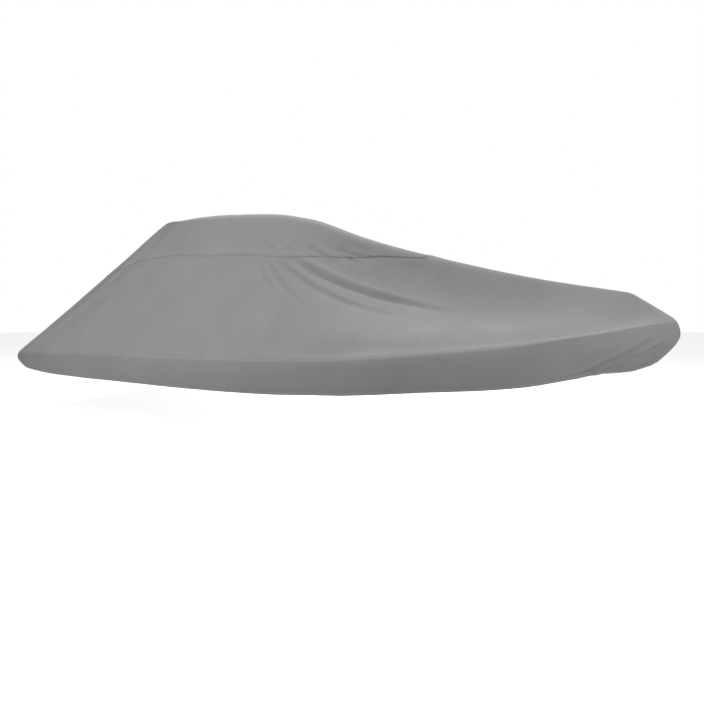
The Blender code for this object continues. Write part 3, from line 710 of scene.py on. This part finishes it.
# painted shade along the crown's lower edge
shade = -np.exp(-(above_seam / EDGE_SHADE) ** 2) * np.interp(places, SEAM_PLACES, SHADE_SHARES)
turn = SEAM_TURN * np.clip(seam_metres / (2 * LAP_WIDTH), 0, 1)[:, None]
halves = []
shades = []
for name, side in SIDES:
    points, normals = cloth(along, down_at(along, metres), side)
    points = points + normals * lap[..., None]
    mirror = np.array([1, -side, 1])
    for distance in CROWN_STITCHED:
        row = -1 - CROWN_EDGE_ROWS.index(distance)
        stitch_rows.append((points[row] * mirror, normals[row] * mirror))
    points = turned_in(points, normals, turn, SEAM_FLAP)
    points[:, 0, 1] = 0
    halves.append(points * mirror)
    shades.append(np.pad(shade, ((0, len(points) - len(shade)), (0, 0)), mode="edge"))
crown_panel = sheet_piece("crown_panel_cloth",
                          np.concatenate([halves[0][::-1], halves[1][1:]]),
                          np.concatenate([shades[0][::-1], shades[1][1:]]))
crown_panel.data.materials.append(canvas)
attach(crown_panel, "root")
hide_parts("crown_panel")


# Flanks: one length of the same canvas on each side, its top felled under the crown's
# edge, folded over the rail into the skirt. The hem is turned in over a draw cord that
# pulls the skirt in. The two meet in a raised seam, aft of the crown and forward of it.
FLANK_ROWS = 42
SKIRT_ROWS = 28
FLANK_TOP_ROWS = (0.0, 0.006, 0.016, 0.0245, 0.0265, 0.034, 0.05)
RAIL_ROWS = (0.0, 0.004, 0.010, 0.018, 0.03)
HEM_ROWS = (0.0, 0.012, 0.0215, 0.024, 0.0265, 0.035)
UNDERLAP = 0.025         # how far the flank reaches up under the crown's edge
HEM_STITCHED = 0.024     # the row of stitches, from where the hem starts to turn
HEM_TURN = 0.006         # radius of the hem round its cord
HEM_FLAP = ((1.3, 1.5), (2.7, 0.75), (4.0, 0.42), (6.0, 0.40))  # in turn radii: up and in
STITCH_DIMPLE = 0.0012   # how deep the stitches pull the hem in
DIMPLE_WIDTH = 0.003
CENTRE_GAP = 0.0004      # half the gap between the two flanks
CENTRE_RISE = 0.003      # their seam stands up
CENTRE_WIDTH = 0.008
CENTRE_STARTS = 0.005    # it rises over this share of the rail forward of the crown's point
CENTRE_STITCHED = 0.006  # distance of its stitches from the centreline
CROWN_SHADE = 0.004      # reach of the painted shade on the flank under the crown's edge
RUB_REACH = 0.010        # reach of the wear on the crease and hem, and of the painted highlight on the crease
HEM_RUB = 0.7            # the hem is rubbed less than the crease

places = places_spaced(COLUMNS)
crown_run, flank_run, skirt_run = runs(places)
seam_metres = metres_at(places, seam_at(places))
rail_metres = crown_run + flank_run
hem_metres = rail_metres + skirt_run - HEM_TURN
top_metres = np.maximum(seam_metres - UNDERLAP, 0)
metres = np.concatenate([
    rows_between(top_metres, rail_metres, FLANK_TOP_ROWS, RAIL_ROWS, FLANK_ROWS),
    rows_between(rail_metres, hem_metres, RAIL_ROWS, HEM_ROWS, SKIRT_ROWS)[1:]])
along = np.broadcast_to(places, metres.shape)
# painted shade on the flank under the crown's edge
painted_shade_under_crown = np.exp(-(np.maximum(metres - seam_metres, 0) / CROWN_SHADE) ** 2)
painted_shade_under_crown *= (seam_metres > 0) * np.interp(places, SEAM_PLACES, SHADE_SHARES)
# edge wear on the crease and hem; on the crease it is also a painted highlight
rubs_and_painted_highlight = np.exp(-((metres - rail_metres) / RUB_REACH) ** 2)
rubs_and_painted_highlight += HEM_RUB * np.exp(-((metres - hem_metres) / RUB_REACH) ** 2)
dimple = STITCH_DIMPLE * np.exp(-((hem_metres - metres - HEM_STITCHED) / DIMPLE_WIDTH) ** 2)
for name, side in SIDES:
    points, normals = cloth(along, down_at(along, metres), side)
    centre_seam = CENTRE_RISE * np.exp(-(points[..., 1] / CENTRE_WIDTH) ** 2)
    bare_centre = soft_edge((places - SEAM_END) / CENTRE_STARTS) + (places < amidships)
    points = points + normals * (centre_seam * bare_centre - dimple)[..., None]
    mirror = np.array([1, -side, 1])
    hem_row = -1 - HEM_ROWS.index(HEM_STITCHED)
    ridge_row = FLANK_TOP_ROWS.index(CENTRE_STITCHED)
    on_ridge = places > SEAM_END
    below_seam = metres[:, 0] > seam_metres[0]
    stitch_rows.append((points[hem_row] * mirror, normals[hem_row] * mirror))
    stitch_rows.append((points[ridge_row, on_ridge] * mirror, normals[ridge_row, on_ridge] * mirror))
    stitch_rows.append((points[below_seam, 1] * mirror, normals[below_seam, 1] * mirror))
    stitch_rows.append((points[ridge_row:, -2] * mirror, normals[ridge_row:, -2] * mirror))
    points = turned_in(points, normals, HEM_TURN, HEM_FLAP)
    points[:, 0, 1] = -CENTRE_GAP
    points[:, -1, 1] = -CENTRE_GAP
    points[0, :, 1] = np.minimum(points[0, :, 1], -CENTRE_GAP)
    # wear with its painted crease highlight, less the painted seam shade
    wear_and_painted_light = np.pad(rubs_and_painted_highlight - painted_shade_under_crown, ((0, len(points) - len(rubs_and_painted_highlight)), (0, 0)), mode="edge")
    flank = sheet_piece(name + "_flank", points * mirror, wear_and_painted_light)
    flank.data.materials.append(canvas)
    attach(flank, "root")
    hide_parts(name + "_panel")


# Seam thread: two rows of lockstitch along the crown's felled edge, one on either side
# of the centre seams, and one round the hem. Bonded polyester, a shade darker than the
# cloth, pulled down into it at both ends of each stitch.
STITCH_PITCH = 0.012     # drawn twice as long and thick as they are, so that they show
STITCH_LENGTH = 0.008
THREAD_RADIUS = 0.0008
THREAD_GREY = "#636362"
ENDS_SUNK = -0.0005
MIDDLE_PROUD = 0.0007
TWIST_MM = 2.5           # length of one turn of the thread's three plies

lines = bpy.data.curves.new("seam_thread", "CURVE")
lines.dimensions = "3D"
lines.bevel_depth = THREAD_RADIUS
lines.bevel_resolution = 0
lines.use_fill_caps = True
for points, normals in stitch_rows:
    run = np.concatenate([[0], np.cumsum(np.linalg.norm(np.diff(points, axis=0), axis=1))])
    for start in np.arange(STITCH_PITCH, run[-1] - STITCH_PITCH, STITCH_PITCH):
        stitch = lines.splines.new("POLY")
        stitch.points.add(2)
        for point, ahead, proud in zip(stitch.points, (0, 0.5, 1),
                                       (ENDS_SUNK, MIDDLE_PROUD, ENDS_SUNK)):
            at = start + ahead * STITCH_LENGTH
            on_face = [np.interp(at, run, points[:, axis]) for axis in range(3)]
            outwards = [np.interp(at, run, normals[:, axis]) for axis in range(3)]
            point.co = (*(Vector(on_face) + proud * Vector(outwards)), 1)
curve = bpy.data.objects.new("thread_lines", lines)
bpy.context.scene.collection.objects.link(curve)
thread_mesh = bpy.data.meshes.new_from_object(
    curve.evaluated_get(bpy.context.evaluated_depsgraph_get()))
bpy.data.objects.remove(curve)
seam_thread = bpy.data.objects.new("seam_thread", thread_mesh)
bpy.context.scene.collection.objects.link(seam_thread)

# Bonded polyester thread: three plies twisted hard and sealed, so it has a slight
# gloss and fine slanting bands.
bonded_thread, tree, shader = material_of("bonded_polyester_thread")
spots = add(tree, "TexCoord").outputs["Object"]
plies = add(tree, "TexWave", {"bands_direction": "DIAGONAL"}, Vector=spots,
            Scale=BAND * 1000 / TWIST_MM).outputs["Fac"]
twisted = add(tree, "Bump", Height=plies, Strength=0.4, Distance=0.0004)
tree.links.new(twisted.outputs["Normal"], shader.inputs["Normal"])
shader.inputs["Base Color"].default_value = linear(THREAD_GREY)
shader.inputs["Roughness"].default_value = 0.55
thread_mesh.materials.clear()
thread_mesh.materials.append(bonded_thread)
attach(seam_thread, "root")
